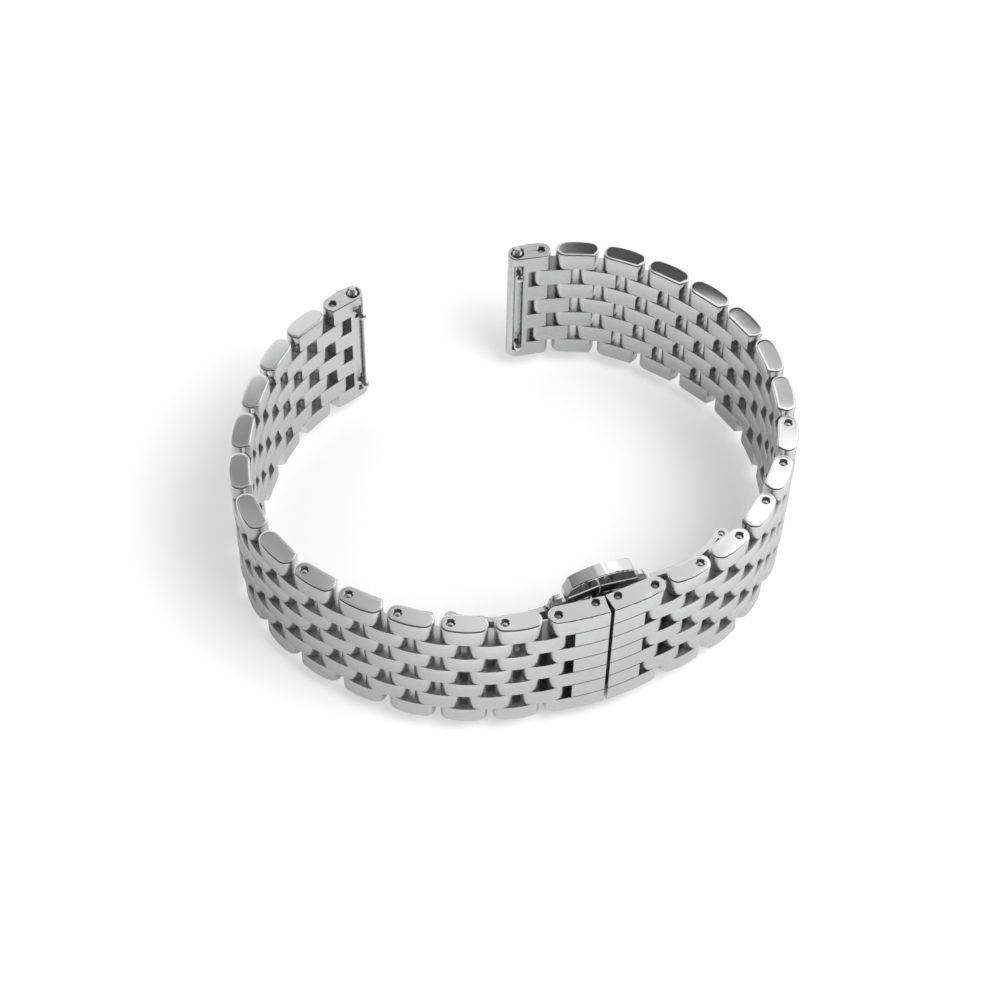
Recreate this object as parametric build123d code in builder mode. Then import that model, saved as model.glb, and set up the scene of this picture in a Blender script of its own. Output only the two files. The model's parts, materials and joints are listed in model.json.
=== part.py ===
# Link watch bracelet with a butterfly clasp, standing on its edge as it is photographed.
# Seven rows of small links lie side by side like bricks: four-row links and three-row
# links take turns along the chain, and every half pitch is a hinge on its own pin.
# Millimetres, +Z along the pins, origin under the middle of the bracelet on the surface it stands on.
import os
from math import asin, cos, radians, sin, sqrt

from build123d import *

os.makedirs("parts", exist_ok=True)

# Rows and links
row_count = 7
bracelet_width = 20.0
row_clearance = 0.06
link_pitch = 6.5
inner_depth = 1.3
crown_depth = 1.42
end_radius = 1.3
crown_start = 65
corner_set_back = 0.55
corner_rise = 0.95
edge_round = 0.13

# Pins and their bores
pin_radius = 0.5
press_clearance = 0.005
running_clearance = 0.05
pin_recess = 0.55
pin_end_play = 0.02
mouth_bevel = 0.09
wall_overrun = 1.0

# Each half: a cover link, removable links with open pin holes, fixed links, an end link
removable_count = 5

# Rest bends in degrees from one four-row link to the next, read off the photograph
right_bends = (5, 11, 18, 8, 16, 12, 11, 18, 14, 9, 11, 19, 13)
left_bends = (6, 12, 13, 11, 8, 15, 15, 19, 12, 9, 11, 16, 11)
cover_tilt = 5.5
clasp_heading = 22.0

# Where the middle of the clasp stands from the origin
clasp_x = 11.535
clasp_y = -27.1

# Cover links over the clasp
cover_half_gap = 0.2
cover_tip_reach = 1.5
cover_tip_depth = 0.55
cover_pin_reach = 6.3
cover_outer_depth = 1.32
cover_crown_start = 82
filler_reach = 4.45
filler_skin = 0.85
pocket_reach = 3.9
groove_width = 0.14
groove_depth = 0.22

# Blades that swing out from under the covers, from the tip pin to the hinge
blade_thickness = 0.45
blade_set_back = 3.3
blade_start = 3.0
blade_start_depth = 1.77
blade_middle = 9.5
blade_middle_depth = 2.52
blade_end = 14.2
blade_end_depth = 3.68
blade_slope = 23
finger_radius = 0.95
finger_width = 2.6
finger_neck = 0.75
neck_end = 3.2
neck_end_depth = 2.15
blade_knuckle_half = 4.4
lug_radius = 0.45
lug_reach = 4.15
lug_height = 4.1
lug_depth = 3.05

# Clasp plate against the wrist
plate_depth = 3.17
plate_thickness = 0.7
plate_set_back = 2.5
plate_flat_half = 9.0
plate_flat_rise = 0.1
wing_radius = 14.2
hinge_reach = 17.85
knuckle_radius = 0.85
knuckle_play = 0.15
knuckle_notch = 13.9
hinge_pin_radius = 0.42
hinge_pin_recess = 0.25
shoulder_set_back = 0.8
shoulder_reach = 6.2
shoulder_fillet = 0.8
button_notch_half = 4.72
button_notch_set_back = 1.7

# Push buttons at both edges of the clasp plate
button_half_length = 4.6
button_front = 2.05
button_back = 3.95
button_rise = 3.1
button_crown = 0.75
button_end_bevel = 0.65
button_end_drop = 1.6
button_floor_set_back = 0.4
button_travel = 1.2
button_fillet = 0.18
tongue_half_width = 3.0
tongue_thickness = 0.5
tongue_depth = 3.05
tongue_root_rise = 0.4
bar_half_length = 4.9
bar_low = 2.6
bar_high = 3.5
spring_radius = 0.25
spring_wall = 0.08
spring_offset = 3.6
spring_length = 1.5
spring_bore_clearance = 0.05
spring_bore_depth = 1.5

# End links and quick-release spring bars
web_start = 0.3
bar_bore_radius = 0.9
bar_radius = 0.85
bar_inner_radius = 0.67
bar_recess = 0.6
channel_width = 1.3
channel_end = 1.4
plunger_radius = 0.62
plunger_set_back = 5.0
tip_radius = 0.4
tip_rise = 0.8
tip_fillet = 0.12
tip_travel = 1.0
knob_set_back = 2.9
knob_radius = 0.55
knob_reach = 2.0
neck_radius = 0.26
window_clearance = 0.06
bar_spring_set_back = 1.4
bar_spring_radius = 0.62
bar_spring_bore = 0.22

# Sizes that follow from these
half_width = bracelet_width / 2
mid_height = half_width + button_rise
row_height = (bracelet_width - (row_count - 1) * row_clearance) / row_count
row_step = row_height + row_clearance
wide_rows = range(0, row_count, 2)
narrow_rows = range(1, row_count, 2)
pin_spacing = link_pitch / 2
pin_half = pin_spacing / 2
link_half = pin_half + end_radius
pin_half_length = half_width - pin_recess
blade_half_width = half_width - blade_set_back
plate_half_width = half_width - plate_set_back
shoulder_height = half_width - shoulder_set_back
button_notch_floor = half_width - button_notch_set_back
button_floor = half_width - button_floor_set_back
tongue_root = half_width + tongue_root_rise
knuckle_start = blade_knuckle_half + knuckle_play
wing_turn = asin((hinge_reach - plate_flat_half) / wing_radius)
wing_center = plate_depth + plate_flat_rise + wing_radius
hinge_depth = wing_center - wing_radius * cos(wing_turn)
spring_bore_radius = spring_radius + spring_bore_clearance
plunger_inner_end = half_width - plunger_set_back
bar_spring_half = plunger_inner_end - bar_spring_set_back
knob_height = half_width - knob_set_back
spring_middle = plate_depth + spring_radius


def row_floor(row):
    """Height of the underside of a row, counted from the lowest one."""
    return mid_height - half_width + row * row_step


def step(point, heading, length):
    """The point that lies a length away along a heading in degrees."""
    return (point[0] + length * cos(radians(heading)), point[1] + length * sin(radians(heading)))


def frame_at(point, heading):
    """Level plane with its X axis along a heading, at the height of the bracelet's middle."""
    return Plane(
        origin=(point[0], point[1], mid_height),
        x_dir=(cos(radians(heading)), sin(radians(heading)), 0),
        z_dir=(0, 0, 1),
    )


def save(part, label):
    """Name a finished piece and write it to its own file."""
    part.label = label
    export_step(part, f"parts/{label}.step")


def link_outline(turn):
    """Side outline of one small link, seen along the pins, with the clasp towards -X.
    The inner face is flat, the outer one crowned, the far end is round about its pin,
    and the near end has a slanting facet at its inner corner."""
    rise = end_radius * sin(radians(crown_start))
    reach = end_radius * cos(radians(crown_start))
    corner = (corner_set_back - link_half, turn * inner_depth)
    facet_depth = inner_depth - corner_rise
    facet_end = (-pin_half - sqrt(end_radius ** 2 - facet_depth ** 2), turn * facet_depth)
    half_start = radians(crown_start / 2)
    half_turn = (-pin_half - end_radius * cos(half_start), -turn * end_radius * sin(half_start))
    with BuildSketch(Plane.XY) as outline:
        with BuildLine():
            Line(corner, (pin_half, turn * inner_depth))
            ThreePointArc(
                (pin_half, turn * inner_depth),
                (link_half, 0),
                (pin_half + reach, -turn * rise),
            )
            ThreePointArc(
                (pin_half + reach, -turn * rise),
                (0, -turn * crown_depth),
                (-pin_half - reach, -turn * rise),
            )
            ThreePointArc(
                (-pin_half - reach, -turn * rise),
                half_turn,
                facet_end,
            )
            Line(facet_end, corner)
        make_face()
    return outline.sketch


link_shapes = {1: link_outline(1), -1: link_outline(-1)}


def row_planes(frame, rows):
    """One plane at the underside of each of the rows."""
    return [frame.offset(row_floor(row) - mid_height) for row in rows]


def lay_out(turn, bends):
    """Walk one half of the chain from its cover to its end link.
    turn is 1 for the right half and -1 for the left one. Each place is a point and a heading."""
    start = (clasp_x, clasp_y)
    side_heading = clasp_heading if turn > 0 else clasp_heading + 180
    heading = side_heading + turn * cover_tilt
    narrow = []
    wide = [(start, heading)]
    pen = step(start, heading, cover_pin_reach)
    for bend in bends:
        heading += turn * bend / 2
        narrow.append((step(pen, heading, pin_half), heading))
        pen = step(pen, heading, pin_spacing)
        heading += turn * bend / 2
        wide.append((step(pen, heading, pin_half), heading))
        pen = step(pen, heading, pin_spacing)
    return narrow, wide


def make_wide_link(label, frame, turn, open_hole):
    """Four small links held together by two pins."""
    with BuildPart() as unit:
        with BuildSketch(*row_planes(frame, wide_rows)):
            add(link_shapes[turn])
        extrude(amount=row_height)
        fillet(unit.faces().sort_by(Axis.Z)[-1].edges(), edge_round)
        fillet(unit.faces().sort_by(Axis.Z)[0].edges(), edge_round)
        with BuildSketch(frame):
            with Locations((-pin_half, 0), (pin_half, 0)):
                Circle(pin_radius + press_clearance)
        extrude(amount=pin_half_length, both=True, mode=Mode.SUBTRACT)
        if open_hole:
            with BuildSketch(frame):
                with Locations((pin_half, 0)):
                    Circle(pin_radius + press_clearance)
            extrude(amount=half_width + wall_overrun, both=True, mode=Mode.SUBTRACT)
            chamfer(unit.faces().sort_by(Axis.Z)[-1].inner_wires().edges(), mouth_bevel)
            chamfer(unit.faces().sort_by(Axis.Z)[0].inner_wires().edges(), mouth_bevel)
        with BuildSketch(frame):
            with Locations((-pin_half, 0), (pin_half, 0)):
                Circle(pin_radius)
        extrude(amount=pin_half_length - pin_end_play, both=True)
    save(unit.part, label)
    return unit.part


def make_narrow_link(label, frame, turn):
    """Three small links that turn on the pins of their neighbours."""
    with BuildPart() as unit:
        with BuildSketch(*row_planes(frame, narrow_rows)):
            add(link_shapes[turn])
            with Locations((-pin_half, 0), (pin_half, 0)):
                Circle(pin_radius + running_clearance, mode=Mode.SUBTRACT)
        extrude(amount=row_height)
    save(unit.part, label)
    return unit.part


def make_cover(label, frame, turn, narrow_frame):
    """Cover link over the clasp, its two pins, and the three-row link fixed beside it."""
    face_in = turn * inner_depth
    face_out = -turn * cover_outer_depth
    rise = end_radius * sin(radians(cover_crown_start))
    reach = end_radius * cos(radians(cover_crown_start))
    with BuildPart() as cover:
        with BuildSketch(frame.offset(-half_width)):
            with BuildLine():
                Line((cover_half_gap, face_in), (cover_pin_reach, face_in))
                ThreePointArc(
                    (cover_pin_reach, face_in),
                    (cover_pin_reach + end_radius, 0),
                    (cover_pin_reach + reach, -turn * rise),
                )
                ThreePointArc(
                    (cover_pin_reach + reach, -turn * rise),
                    (cover_pin_reach / 2, -turn * crown_depth),
                    (cover_half_gap, face_out),
                )
                Line((cover_half_gap, face_out), (cover_half_gap, face_in))
            make_face()
        extrude(amount=bracelet_width)
        fillet(cover.faces().sort_by(Axis.Z)[-1].edges(), edge_round)
        fillet(cover.faces().sort_by(Axis.Z)[0].edges(), edge_round)
        # slots for the three-row link at the outer pin
        slot_length = cover_pin_reach + end_radius + wall_overrun - filler_reach
        with BuildSketch(*[plane.offset(-row_clearance) for plane in row_planes(frame, narrow_rows)]):
            with Locations((filler_reach + slot_length / 2, 0)):
                Rectangle(slot_length, 2 * (inner_depth + wall_overrun))
        extrude(amount=row_height + 2 * row_clearance, mode=Mode.SUBTRACT)
        # pockets behind the outer skin, where the fingers of the blade turn
        pocket_depth = 2 * inner_depth - filler_skin + wall_overrun
        pocket_middle = turn * (filler_skin - inner_depth + pocket_depth / 2)
        pocket_length = pocket_reach + wall_overrun
        with BuildSketch(*row_planes(frame, narrow_rows)):
            with Locations((pocket_reach - pocket_length / 2, pocket_middle)):
                Rectangle(pocket_length, pocket_depth)
        extrude(amount=row_height, mode=Mode.SUBTRACT)
        # engraved lines between the rows on the outer face
        with BuildSketch(*[plane.offset(-(row_clearance + groove_width) / 2)
                           for plane in row_planes(frame, range(1, row_count))]):
            with Locations((0, -turn * (cover_outer_depth + wall_overrun - groove_depth))):
                Rectangle(2 * (filler_reach + row_clearance), 2 * wall_overrun)
        extrude(amount=groove_width, mode=Mode.SUBTRACT)
        # bores for both pins
        with BuildSketch(frame):
            with Locations((cover_pin_reach, 0), (cover_tip_reach, turn * cover_tip_depth)):
                Circle(pin_radius + press_clearance)
        extrude(amount=half_width + wall_overrun, both=True, mode=Mode.SUBTRACT)
        chamfer(cover.faces().sort_by(Axis.Z)[-1].inner_wires().edges(), mouth_bevel)
        chamfer(cover.faces().sort_by(Axis.Z)[0].inner_wires().edges(), mouth_bevel)
        with BuildSketch(frame):
            with Locations((cover_pin_reach, 0), (cover_tip_reach, turn * cover_tip_depth)):
                Circle(pin_radius)
        extrude(amount=pin_half_length, both=True)
        # the three-row link that stays in line with the cover
        with BuildSketch(*row_planes(narrow_frame, narrow_rows)):
            add(link_shapes[turn])
            with Locations((-pin_half, 0), (pin_half, 0)):
                Circle(pin_radius + running_clearance, mode=Mode.SUBTRACT)
        extrude(amount=row_height)
    save(cover.part, label)
    return cover.part


def make_end_link(label, frame, turn, narrow_frame):
    """End link with its hinge pin, the spring bar tube and spring, and its three-row link."""
    tube_half = half_width - bar_recess
    window_length = tip_travel + 2 * (neck_radius + window_clearance)
    window_middle = knob_height - tip_travel / 2
    bar_frame = Plane(origin=frame.origin + frame.x_dir * pin_half, x_dir=frame.x_dir, z_dir=(0, 0, 1))
    with BuildPart() as tube:
        with BuildSketch(bar_frame):
            Circle(bar_radius)
        extrude(amount=tube_half, both=True)
        with BuildSketch(bar_frame):
            Circle(bar_inner_radius)
        extrude(amount=tube_half + wall_overrun, both=True, mode=Mode.SUBTRACT)
        # a window for each knob on the inner side
        with BuildSketch(bar_frame.offset(-window_middle), bar_frame.offset(window_middle)):
            with Locations((0, turn * bar_radius / 2)):
                Rectangle(2 * (neck_radius + window_clearance), bar_radius + wall_overrun / 2)
        extrude(amount=window_length / 2, both=True, mode=Mode.SUBTRACT)
    with BuildPart() as spring:
        with BuildSketch(bar_frame):
            Circle(bar_spring_radius)
            Circle(bar_spring_bore, mode=Mode.SUBTRACT)
        extrude(amount=bar_spring_half, both=True)
    with BuildPart() as end:
        with BuildSketch(frame.offset(-half_width)):
            add(link_shapes[turn])
        extrude(amount=bracelet_width)
        fillet(end.faces().sort_by(Axis.Z)[-1].edges(), edge_round)
        fillet(end.faces().sort_by(Axis.Z)[0].edges(), edge_round)
        # slots between the four legs
        slot_length = link_half + wall_overrun + web_start
        with BuildSketch(*[plane.offset(-row_clearance) for plane in row_planes(frame, narrow_rows)]):
            with Locations((web_start - slot_length / 2, 0)):
                Rectangle(slot_length, 2 * (inner_depth + wall_overrun))
        extrude(amount=row_height + 2 * row_clearance, mode=Mode.SUBTRACT)
        # engraved lines between the rows on the outer face
        with BuildSketch(*[plane.offset(-(row_clearance + groove_width) / 2)
                           for plane in row_planes(frame, range(1, row_count))]):
            with Locations((web_start + link_half, -turn * (end_radius + wall_overrun - groove_depth))):
                Rectangle(2 * link_half, 2 * wall_overrun)
        extrude(amount=groove_width, mode=Mode.SUBTRACT)
        # bores of the spring bar and of the hinge pin, then the channel that bares the bar inside
        with BuildSketch(frame):
            with Locations((pin_half, 0)):
                Circle(bar_bore_radius)
            with Locations((-pin_half, 0)):
                Circle(pin_radius + press_clearance)
        extrude(amount=half_width + wall_overrun, both=True, mode=Mode.SUBTRACT)
        chamfer(end.faces().sort_by(Axis.Z)[-1].inner_wires().edges(), mouth_bevel)
        chamfer(end.faces().sort_by(Axis.Z)[0].inner_wires().edges(), mouth_bevel)
        channel_depth = inner_depth + wall_overrun
        with BuildSketch(frame):
            with Locations((pin_half, turn * channel_depth / 2)):
                Rectangle(channel_width, channel_depth)
        extrude(amount=half_width - channel_end, both=True, mode=Mode.SUBTRACT)
        with BuildSketch(frame):
            with Locations((-pin_half, 0)):
                Circle(pin_radius)
        extrude(amount=pin_half_length, both=True)
        # the three-row link that stays in line with the end link
        with BuildSketch(*row_planes(narrow_frame, narrow_rows)):
            add(link_shapes[turn])
            with Locations((-pin_half, 0), (pin_half, 0)):
                Circle(pin_radius + running_clearance, mode=Mode.SUBTRACT)
        extrude(amount=row_height)
        add(tube.part)
        add(spring.part)
    save(end.part, label)
    return end.part


def make_bar_tip(label, frame, turn, up):
    """Sprung plunger of a spring bar with its pivot tip and its ball knob. up is 1 or -1."""
    bar_place = frame.origin + frame.x_dir * pin_half
    bar_frame = Plane(origin=bar_place, x_dir=frame.x_dir, z_dir=(0, 0, up))
    inward = frame.y_dir * turn
    knob_frame = Plane(origin=bar_place + Vector(0, 0, up * knob_height), x_dir=(0, 0, 1), z_dir=inward)
    ball_center = knob_frame.origin + inward * knob_reach
    with BuildPart() as tip:
        with BuildSketch(bar_frame.offset(plunger_inner_end)):
            Circle(plunger_radius)
        extrude(amount=half_width - plunger_inner_end)
        with BuildSketch(bar_frame.offset(half_width)):
            Circle(tip_radius)
        extrude(amount=tip_rise)
        rim = tip.faces().sort_by(Axis.Z)[-1 if up > 0 else 0]
        fillet(rim.edges(), tip_fillet)
        with BuildSketch(knob_frame):
            Circle(neck_radius)
        extrude(amount=knob_reach)
        with BuildSketch(Plane(origin=ball_center, x_dir=(0, 0, 1), z_dir=knob_frame.y_dir)):
            with BuildLine():
                CenterArc((0, 0), knob_radius, -90, 180)
                Line((0, knob_radius), (0, -knob_radius))
            make_face()
        revolve(axis=Axis(ball_center, inward))
    save(tip.part, label)
    return tip.part


def make_blade(label, frame, turn):
    """Blade of one side, from its hinge at the end of the clasp plate to the tip pin of its cover."""
    tip_x = cover_tip_reach * cos(radians(cover_tilt)) - cover_tip_depth * sin(radians(cover_tilt))
    tip_y = cover_tip_reach * sin(radians(cover_tilt)) + cover_tip_depth * cos(radians(cover_tilt))
    run = (neck_end - tip_x, neck_end_depth - tip_y)
    span = sqrt(run[0] ** 2 + run[1] ** 2)
    side = (-run[1] / span * finger_neck / 2, run[0] / span * finger_neck / 2)
    knuckle_side = knuckle_radius * cos(radians(blade_slope))
    knuckle_front = knuckle_radius * sin(radians(blade_slope))
    with BuildPart() as blade:
        # the bowed sheet, wide under the cover
        with BuildSketch(frame.offset(-blade_half_width)):
            with BuildLine():
                ThreePointArc(
                    (blade_start, turn * blade_start_depth),
                    (blade_middle, turn * blade_middle_depth),
                    (blade_end, turn * blade_end_depth),
                )
                Line(
                    (blade_end, turn * blade_end_depth),
                    (blade_end, turn * (blade_end_depth + blade_thickness)),
                )
                ThreePointArc(
                    (blade_end, turn * (blade_end_depth + blade_thickness)),
                    (blade_middle, turn * (blade_middle_depth + blade_thickness)),
                    (blade_start, turn * (blade_start_depth + blade_thickness)),
                )
                Line(
                    (blade_start, turn * (blade_start_depth + blade_thickness)),
                    (blade_start, turn * blade_start_depth),
                )
            make_face()
        extrude(amount=2 * blade_half_width)
        # neck and barrel at the hinge
        with BuildSketch(frame.offset(-blade_knuckle_half)):
            with BuildLine():
                Polyline(
                    (blade_end - blade_thickness, turn * blade_end_depth),
                    (blade_end, turn * blade_end_depth),
                    (hinge_reach + knuckle_front, turn * (hinge_depth - knuckle_side)),
                    (hinge_reach, turn * hinge_depth),
                    (hinge_reach - knuckle_side, turn * (hinge_depth - knuckle_front)),
                    (blade_end, turn * (blade_end_depth + blade_thickness)),
                    (blade_end - blade_thickness, turn * blade_end_depth),
                )
            make_face()
            with Locations((hinge_reach, turn * hinge_depth)):
                Circle(knuckle_radius)
        extrude(amount=2 * blade_knuckle_half)
        # three fingers round the tip pin of the cover
        finger_planes = [plane.offset((row_height - finger_width) / 2) for plane in row_planes(frame, narrow_rows)]
        with BuildSketch(*finger_planes):
            with BuildLine():
                Polyline(
                    (tip_x + side[0], turn * (tip_y + side[1])),
                    (neck_end + side[0], turn * (neck_end_depth + side[1])),
                    (neck_end - side[0], turn * (neck_end_depth - side[1])),
                    (tip_x - side[0], turn * (tip_y - side[1])),
                    (tip_x + side[0], turn * (tip_y + side[1])),
                )
            make_face()
            with Locations((tip_x, turn * tip_y)):
                Circle(finger_radius)
        extrude(amount=finger_width)
        # two lugs for the catch
        for level in (-lug_height, lug_height):
            with BuildSketch(Plane(
                origin=frame.origin + frame.x_dir * lug_reach + frame.y_dir * turn * lug_depth
                + Vector(0, 0, level),
                x_dir=frame.x_dir,
                z_dir=frame.y_dir * -turn,
            )):
                Circle(lug_radius)
            extrude(amount=lug_depth - blade_start_depth - blade_thickness / 2)
        # bores for both pins
        with BuildSketch(frame):
            with Locations((tip_x, turn * tip_y)):
                Circle(pin_radius + running_clearance)
            with Locations((hinge_reach, turn * hinge_depth)):
                Circle(hinge_pin_radius + running_clearance)
        extrude(amount=half_width, both=True, mode=Mode.SUBTRACT)
    save(blade.part, label)
    return blade.part


def wing_point(radius, share):
    """Point of the plate's side profile on one of its wings, a share of the way to the hinge.
    The radius counts from the middle of the wing's curve, and is negative for the left wing."""
    angle = wing_turn * share
    reach = plate_flat_half + abs(radius) * sin(angle)
    return (reach if radius > 0 else -reach, wing_center - abs(radius) * cos(angle))


def make_plate(frame):
    """Bowed clasp plate with a shoulder for each button, its hinge barrels, pins and button springs."""
    inner_radius = wing_radius - plate_thickness
    face_plane = Plane(origin=frame.origin, x_dir=frame.x_dir, z_dir=frame.y_dir * -1)
    with BuildPart() as plate:
        with BuildSketch(frame.offset(-shoulder_height)):
            with BuildLine():
                ThreePointArc(wing_point(-wing_radius, 0), (0, plate_depth), wing_point(wing_radius, 0))
                ThreePointArc(wing_point(-inner_radius, 0), (0, plate_depth + plate_thickness),
                              wing_point(inner_radius, 0))
                for side in (1, -1):
                    for radius in (wing_radius, inner_radius):
                        ThreePointArc(*[wing_point(side * radius, share) for share in (0, 0.5, 1)])
                    Line(wing_point(side * wing_radius, 1), wing_point(side * inner_radius, 1))
            make_face()
        extrude(amount=2 * shoulder_height)
        with BuildSketch(face_plane) as outline:
            Rectangle(2 * hinge_reach, 2 * plate_half_width)
            Rectangle(2 * shoulder_reach, 2 * shoulder_height)
            corners = [
                vertex
                for vertex in outline.vertices()
                if abs(abs(vertex.X) - shoulder_reach) < pin_end_play
            ]
            fillet(corners, shoulder_fillet)
            notch_height = shoulder_height + wall_overrun - button_notch_floor
            with Locations(
                (0, button_notch_floor + notch_height / 2),
                (0, -button_notch_floor - notch_height / 2),
            ):
                Rectangle(2 * button_notch_half, notch_height, mode=Mode.SUBTRACT)
            with Locations((-hinge_reach, 0), (hinge_reach, 0)):
                Rectangle(2 * (hinge_reach - knuckle_notch), 2 * knuckle_start, mode=Mode.SUBTRACT)
        extrude(amount=2 * hinge_reach, both=True, mode=Mode.INTERSECT)
        # hinge barrels on both sides of each blade
        with BuildSketch(frame.offset(knuckle_start), frame.offset(-plate_half_width)):
            with Locations((-hinge_reach, hinge_depth), (hinge_reach, hinge_depth)):
                Circle(knuckle_radius)
        extrude(amount=plate_half_width - knuckle_start)
        with BuildSketch(frame):
            with Locations((-hinge_reach, hinge_depth), (hinge_reach, hinge_depth)):
                Circle(hinge_pin_radius + press_clearance)
        extrude(amount=half_width, both=True, mode=Mode.SUBTRACT)
        with BuildSketch(frame):
            with Locations((-hinge_reach, hinge_depth), (hinge_reach, hinge_depth)):
                Circle(hinge_pin_radius)
        extrude(amount=plate_half_width - hinge_pin_recess, both=True)
        # two springs under each button, drawn at their pressed length
        with BuildSketch(frame.offset(button_notch_floor + pin_end_play),
                         frame.offset(-button_notch_floor - pin_end_play - spring_length)):
            with Locations((-spring_offset, spring_middle), (spring_offset, spring_middle)):
                Circle(spring_radius)
                Circle(spring_radius - spring_wall, mode=Mode.SUBTRACT)
        extrude(amount=spring_length)
    save(plate.part, "clasp_plate")
    return plate.part


def make_button(label, frame, up):
    """Push button with its tongue under the blades. up is 1 for the upper one and -1 for the lower."""
    face_plane = Plane(origin=frame.origin, x_dir=frame.x_dir, z_dir=frame.y_dir * -1)
    top = half_width + button_rise
    bevel_top = top - button_crown
    side_top = bevel_top - button_end_drop
    crown_half = button_half_length - button_end_bevel
    with BuildPart() as button:
        with BuildSketch(face_plane.offset(-button_back)):
            with BuildLine():
                Line((-button_half_length, up * button_floor), (-button_half_length, up * side_top))
                Line((-button_half_length, up * side_top), (-crown_half, up * bevel_top))
                ThreePointArc((-crown_half, up * bevel_top), (0, up * top), (crown_half, up * bevel_top))
                Line((crown_half, up * bevel_top), (button_half_length, up * side_top))
                Line((button_half_length, up * side_top), (button_half_length, up * button_floor))
                Line((button_half_length, up * button_floor), (-button_half_length, up * button_floor))
            make_face()
        extrude(amount=button_back - button_front)
        rims = [
            edge
            for edge in button.edges()
            if up * (edge.center().Z - mid_height) > side_top
        ]
        fillet(rims, button_fillet)
        # blind bores that the springs go into
        with BuildSketch(Plane(origin=frame.origin + Vector(0, 0, up * button_floor),
                               x_dir=frame.x_dir, z_dir=(0, 0, up))):
            with Locations((-spring_offset, up * spring_middle), (spring_offset, up * spring_middle)):
                Circle(spring_bore_radius)
        extrude(amount=spring_bore_depth, mode=Mode.SUBTRACT)
        # tongue with its catch bar
        with BuildSketch(face_plane.offset(-tongue_depth)):
            with Locations((0, up * (bar_low + tongue_root) / 2)):
                Rectangle(2 * tongue_half_width, tongue_root - bar_low)
            with Locations((0, up * (bar_low + bar_high) / 2)):
                Rectangle(2 * bar_half_length, bar_high - bar_low)
        extrude(amount=tongue_thickness)
    save(button.part, label)
    return button.part


clasp_frame = frame_at((clasp_x, clasp_y), clasp_heading)
make_plate(clasp_frame)
make_button("upper_button", clasp_frame, 1)
make_button("lower_button", clasp_frame, -1)
for side, turn, bends in (("right", 1, right_bends), ("left", -1, left_bends)):
    narrow_places, wide_places = lay_out(turn, bends)
    side_heading = clasp_heading if turn > 0 else clasp_heading + 180
    make_blade(f"{side}_blade", frame_at((clasp_x, clasp_y), side_heading), turn)
    make_cover(f"{side}_cover", frame_at(*wide_places[0]), turn, frame_at(*narrow_places[0]))
    for index in range(1, len(bends)):
        open_hole = index <= removable_count
        make_wide_link(f"{side}_wide_{index:02d}", frame_at(*wide_places[index]), turn, open_hole)
        if index < len(bends) - 1:
            make_narrow_link(f"{side}_narrow_{index:02d}", frame_at(*narrow_places[index]), turn)
    end_frame = frame_at(*wide_places[-1])
    make_end_link(f"{side}_end_link", end_frame, turn, frame_at(*narrow_places[-1]))
    make_bar_tip(f"{side}_upper_tip", end_frame, turn, 1)
    make_bar_tip(f"{side}_lower_tip", end_frame, turn, -1)
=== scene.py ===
import json
from math import atan2, cos, degrees, hypot, pi, prod, radians, sin, sqrt

import bmesh
import bpy
from mathutils import Matrix, Vector
from mathutils.geometry import tessellate_polygon

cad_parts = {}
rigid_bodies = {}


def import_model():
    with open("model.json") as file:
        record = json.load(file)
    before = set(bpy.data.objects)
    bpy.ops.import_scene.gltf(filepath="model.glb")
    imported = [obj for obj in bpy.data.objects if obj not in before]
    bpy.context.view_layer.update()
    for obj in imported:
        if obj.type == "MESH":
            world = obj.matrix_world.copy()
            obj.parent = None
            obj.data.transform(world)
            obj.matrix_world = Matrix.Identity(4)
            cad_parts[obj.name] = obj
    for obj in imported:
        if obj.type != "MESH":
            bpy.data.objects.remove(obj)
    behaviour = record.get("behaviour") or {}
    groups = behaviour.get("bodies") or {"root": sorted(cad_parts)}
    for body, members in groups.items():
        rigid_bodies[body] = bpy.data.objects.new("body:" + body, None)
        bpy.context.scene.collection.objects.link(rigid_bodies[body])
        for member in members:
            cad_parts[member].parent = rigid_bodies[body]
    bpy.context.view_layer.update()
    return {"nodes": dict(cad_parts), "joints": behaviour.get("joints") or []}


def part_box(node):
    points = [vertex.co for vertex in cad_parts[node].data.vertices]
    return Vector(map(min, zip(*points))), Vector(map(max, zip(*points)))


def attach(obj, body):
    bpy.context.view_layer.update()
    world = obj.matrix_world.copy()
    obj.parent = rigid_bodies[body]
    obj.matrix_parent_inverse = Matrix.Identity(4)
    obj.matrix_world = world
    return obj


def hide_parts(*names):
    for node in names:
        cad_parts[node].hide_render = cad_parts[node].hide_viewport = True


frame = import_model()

bl_info = {
    "name": "Link watch bracelet",
    "version": (1, 0, 0),
    "blender": (4, 5, 0),
    "location": "View3D > Sidebar > Bracelet",
    "description": "Steel links, folding clasp and spring bars over the packed bracelet",
    "category": "Object",
}

JOINTS = frame["joints"]
NODES = frame["nodes"]
MM = 0.001

# Patterns of the steels: their sizes, and how far tone, gloss and height vary with them
CLOUD_SCALE, CLOUD_TONE, CLOUD_GLOSS = 260.0, 0.10, 0.05
GRAIN_SCALE, GRAIN_TONE, GRAIN_GLOSS, GRAIN_HEIGHT = (300.0, 300.0, 26000.0), 0.10, 0.14, 0.0000020
SPOT_SCALE = 2400.0
WAVE_SCALE = 190.0
FINE_WAVES, WAVES = 0.00001, 0.00002
LEAST_ROUGHNESS = 0.02
RIM_COLOUR = (0.80, 0.80, 0.805)
# painted shade: the dark colour of the grooves between the rows of covers and end links
GROOVE_SHADE_COLOUR = (0.36, 0.36, 0.365)
PIN_COLOUR = (0.78, 0.78, 0.785)
BAR_COLOUR = (0.86, 0.86, 0.865)

# Points and steps of the small link's outline and rounds, and of holes and pins
END_POINTS, CROWN_POINTS, NEAR_END_POINTS = 9, 6, 7
ROUND_STEPS = 3
DOME_STEPS = 4
HOLE_STEPS = 20
PIN_STEPS = 18

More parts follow.
